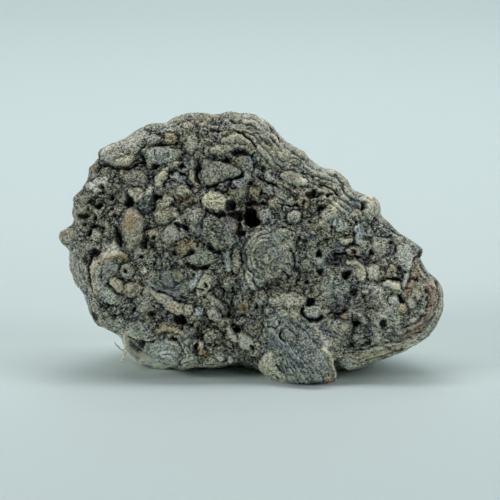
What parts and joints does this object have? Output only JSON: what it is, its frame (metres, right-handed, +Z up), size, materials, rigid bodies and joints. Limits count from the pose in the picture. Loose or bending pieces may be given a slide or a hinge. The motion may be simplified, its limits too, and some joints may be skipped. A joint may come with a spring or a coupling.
{
  "type": "chalcedony rose",
  "caption": "Hand-sized lens-shaped mineral specimen of grey banded chalcedony, its face crusted with rosettes, knobs, ledges and pits, standing on a flat worn lower edge.",
  "frame": {"origin": "centre of the bounding box, on the surface that the stone stands on", "axes": "+Z up, the crusted face towards -Y and leaning back, +X along the stone's length"},
  "size_m": [0.077, 0.0344, 0.0516],
  "materials": {
    "banded_chalcedony": "rough crusted chalcedony, grey with olive, cream, rust and blue-grey bands, dark in its pits"
  },
  "bodies": {
    "root": {"chalcedony_rose": "banded_chalcedony"}
  },
  "joints": []
}
